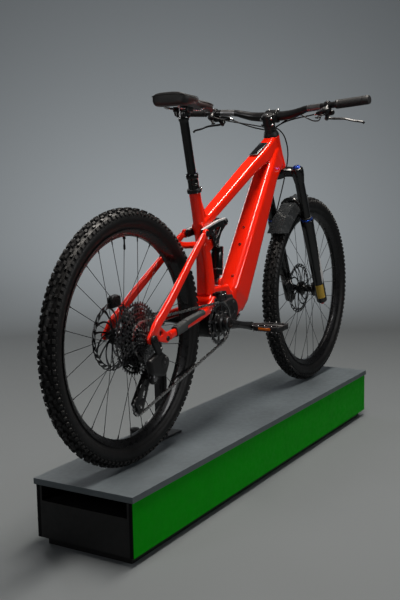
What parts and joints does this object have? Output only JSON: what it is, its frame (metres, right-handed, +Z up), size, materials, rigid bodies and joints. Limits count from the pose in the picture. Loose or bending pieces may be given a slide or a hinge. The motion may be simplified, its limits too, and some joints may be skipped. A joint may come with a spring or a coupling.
{
  "type": "bicycle on stand",
  "caption": "Full-suspension electric mountain bicycle with working steering, wheels, cranks and suspension, held by a low prop on a display plinth.",
  "frame": {"origin": "centre of the plinth's footprint on the floor", "axes": "+X is the riding direction, +Y the rider's left, +Z up"},
  "size_m": [2.0101, 0.7888, 1.2908],
  "materials": {
    "slab_laminate": "satin dark grey laminate",
    "green_panel": "semi-gloss green panel",
    "black_board": "matt black board",
    "black_steel": "black powder coat",
    "red_paint": "gloss red paint under clear coat",
    "black_cover": "fine-textured black",
    "battery_case": "matt",
    "display_glass": "gloss black window",
    "black_plastic": "satin",
    "black_anodised": "black anodised",
    "dark_steel": "dark steel",
    "rocker_alloy": "black with polished edges",
    "shock_metal": "grey anodised",
    "tyre_rubber": "matt rubber",
    "rim_black": "satin black anodised",
    "spoke_steel": "black oxide",
    "hub_black": "black anodised",
    "rotor_steel": "ground steel",
    "cassette_steel": "dark nickel",
    "crank_alloy": "dark grey anodised",
    "chainring_steel": "black",
    "pedal_plastic": "moulded",
    "chain_steel": "dark nickel",
    "crown_alloy": "grey anodised",
    "stanchion_black": "gloss black coating",
    "bar_alloy": "satin black",
    "grip_rubber": "ribbed rubber",
    "control_black": "satin black",
    "hose_black": "smooth hose",
    "lever_alloy": "satin black",
    "dial_blue": "blue anodised",
    "fork_black": "gloss black",
    "mudguard_plastic": "satin moulded",
    "saddle_cover": "matt synthetic leather over foam"
  },
  "bodies": {
    "frame": {"plinth_slab": "slab_laminate", "plinth_side_panels": "green_panel", "plinth_carcass": "black_board", "stand_column": "black_steel", "head_tube": "red_paint", "top_tube": "red_paint", "down_tube": "red_paint", "seat_tube": "red_paint", "drive_unit": "black_cover", "battery": "battery_case", "display_unit": "display_glass", "chain_guide": "black_plastic", "seatpost_outer": "black_anodised", "chain_front": "chain_steel"},
    "chainstay_arm": {"chainstays": "red_paint"},
    "seatstay_arm": {"seatstays": "red_paint", "rear_axle": "dark_steel", "rear_caliper": "black_anodised", "derailleur_body": "black_anodised", "chain_rear": "chain_steel"},
    "rocker": {"rocker_link": "rocker_alloy"},
    "shock_upper": {"shock_head": "shock_metal"},
    "shock_lower": {"shock_can": "black_anodised"},
    "rear_wheel": {"rear_tyre": "tyre_rubber", "rear_rim": "rim_black", "rear_spokes": "spoke_steel", "rear_hub": "hub_black", "rear_rotor": "rotor_steel"},
    "cassette_body": {"cassette": "cassette_steel"},
    "cage": {"derailleur_cage": "black_anodised"},
    "guide_wheel": {"guide_pulley": "black_plastic"},
    "tension_wheel": {"tension_pulley": "black_plastic"},
    "crankset": {"crank_arm_right": "crank_alloy", "crank_arm_left": "crank_alloy", "chainring": "chainring_steel"},
    "right_pedal": {"pedal_right": "pedal_plastic"},
    "left_pedal": {"pedal_left": "pedal_plastic"},
    "steerer": {"fork_crown": "crown_alloy", "fork_stanchions": "stanchion_black", "stem": "black_anodised", "handlebar": "bar_alloy", "grips": "grip_rubber", "control_bodies": "control_black", "hoses": "hose_black", "front_brake_hose": "hose_black"},
    "dial": {"fork_dial": "dial_blue"},
    "right_brake_lever": {"brake_lever_right": "lever_alloy"},
    "left_brake_lever": {"brake_lever_left": "lever_alloy"},
    "right_thumb_lever": {"shift_paddle": "lever_alloy"},
    "left_thumb_lever": {"dropper_lever": "lever_alloy"},
    "fork_lower": {"fork_lowers": "fork_black", "mudguard": "mudguard_plastic", "front_axle": "dark_steel", "front_caliper": "black_anodised"},
    "front_wheel": {"front_tyre": "tyre_rubber", "front_rim": "rim_black", "front_spokes_hub": "spoke_steel", "front_rotor": "rotor_steel"},
    "saddle_post": {"seatpost_inner": "stanchion_black", "saddle": "saddle_cover"}
  },
  "joints": [
    {"name": "suspension", "type": "hinge", "parent": "frame", "child": "chainstay_arm", "pos_m": [-0.2, 0, 0.621], "axis": [0, 1, 0], "range_deg": [0, 15], "deforming": ["chain_front", "chain_rear"]},
    {"name": "horst_link", "type": "hinge", "parent": "chainstay_arm", "child": "seatstay_arm", "pos_m": [-0.55, 0, 0.558], "axis": [0, 1, 0], "range_deg": [-6.2, 0]},
    {"name": "rocker_turn", "type": "hinge", "parent": "frame", "child": "rocker", "pos_m": [-0.168, 0, 0.808], "axis": [0, 1, 0], "range_deg": [0, 37]},
    {"name": "shock_tilt", "type": "hinge", "parent": "rocker", "child": "shock_upper", "pos_m": [-0.098, 0, 0.874], "axis": [0, 1, 0], "range_deg": [-25, 0]},
    {"name": "shock_stroke", "type": "slide", "parent": "shock_upper", "child": "shock_lower", "axis": [0.0905, 0, 0.9959], "range_m": [0, 0.0485]},
    {"name": "rear_wheel_spin", "type": "hinge", "parent": "seatstay_arm", "child": "rear_wheel", "pos_m": [-0.6335, 0, 0.568], "axis": [0, 1, 0], "continuous": true},
    {"name": "crank_spin", "type": "hinge", "parent": "frame", "child": "crankset", "pos_m": [-0.185, 0, 0.548], "axis": [0, 1, 0], "continuous": true},
    {"name": "cassette_spin", "type": "hinge", "parent": "seatstay_arm", "child": "cassette_body", "pos_m": [-0.6335, 0, 0.568], "axis": [0, 1, 0], "continuous": true},
    {"name": "cage_swing", "type": "hinge", "parent": "seatstay_arm", "child": "cage", "pos_m": [-0.622, 0, 0.454], "axis": [0, 1, 0], "range_deg": [-5.4, 0]},
    {"name": "guide_pulley_spin", "type": "hinge", "parent": "cage", "child": "guide_wheel", "pos_m": [-0.622, 0, 0.454], "axis": [0, 1, 0], "continuous": true},
    {"name": "tension_pulley_spin", "type": "hinge", "parent": "cage", "child": "tension_wheel", "pos_m": [-0.66, 0, 0.376], "axis": [0, 1, 0], "continuous": true},
    {"name": "pedal_right_spin", "type": "hinge", "parent": "crankset", "child": "right_pedal", "pos_m": [-0.02303, 0, 0.51652], "axis": [0, 1, 0], "continuous": true},
    {"name": "pedal_left_spin", "type": "hinge", "parent": "crankset", "child": "left_pedal", "pos_m": [-0.34697, 0, 0.57948], "axis": [0, 1, 0], "continuous": true},
    {"name": "steering", "type": "hinge", "parent": "frame", "child": "steerer", "pos_m": [0.59346, 0, 0.54975], "axis": [-0.4147, 0, 0.91], "range_deg": [-45, 45]},
    {"name": "fork_slide", "type": "slide", "parent": "steerer", "child": "fork_lower", "axis": [-0.4147, 0, 0.91], "range_m": [0, 0.12], "deforming": ["front_brake_hose"]},
    {"name": "front_wheel_spin", "type": "hinge", "parent": "fork_lower", "child": "front_wheel", "pos_m": [0.6335, 0, 0.568], "axis": [0, 1, 0], "continuous": true},
    {"name": "dropper", "type": "slide", "parent": "frame", "child": "saddle_post", "axis": [-0.2436, 0, 0.9699], "range_m": [-0.15, 0]},
    {"name": "brake_lever_left_pull", "type": "hinge", "parent": "steerer", "child": "left_brake_lever", "pos_m": [0.32816, 0.21314, 1.22749], "axis": [0.7709, 0, 0.6369], "range_deg": [0, 20], "stiffness_Nm_per_rad": 1.5, "springref_deg": -17.19},
    {"name": "brake_lever_right_pull", "type": "hinge", "parent": "steerer", "child": "right_brake_lever", "pos_m": [0.32816, -0.21314, 1.22749], "axis": [-0.7709, 0, -0.6369], "range_deg": [0, 20], "stiffness_Nm_per_rad": 1.5, "springref_deg": -17.19},
    {"name": "dropper_lever_push", "type": "hinge", "parent": "steerer", "child": "left_thumb_lever", "pos_m": [0.27335, 0.2329, 1.24262], "axis": [-0.4147, 0, 0.91], "range_deg": [0, 20], "stiffness_Nm_per_rad": 0.5, "springref_deg": -17.19},
    {"name": "shift_paddle_push", "type": "hinge", "parent": "steerer", "child": "right_thumb_lever", "pos_m": [0.27335, -0.2329, 1.24262], "axis": [0.4147, 0, -0.91], "range_deg": [0, 20], "stiffness_Nm_per_rad": 0.5, "springref_deg": -17.19},
    {"name": "fork_dial_turn", "type": "hinge", "parent": "steerer", "child": "dial", "pos_m": [0.38019, -0.07, 1.05149], "axis": [-0.4147, 0, 0.91], "range_deg": [0, 270]}
  ],
  "couplings": [
    {"joint": "horst_link", "follows": "suspension", "ratio": -0.40326},
    {"joint": "rocker_turn", "follows": "suspension", "ratio": 2.4543},
    {"joint": "shock_tilt", "follows": "suspension", "ratio": -1.644},
    {"joint": "shock_stroke", "follows": "suspension", "m_per_rad": 0.18374},
    {"joint": "cage_swing", "follows": "suspension", "ratio": -0.35},
    {"joint": "cassette_spin", "follows": "crank_spin", "ratio": 1.4167},
    {"joint": "guide_pulley_spin", "follows": "crank_spin", "ratio": -2.8333},
    {"joint": "tension_pulley_spin", "follows": "crank_spin", "ratio": 2.8333}
  ]
}
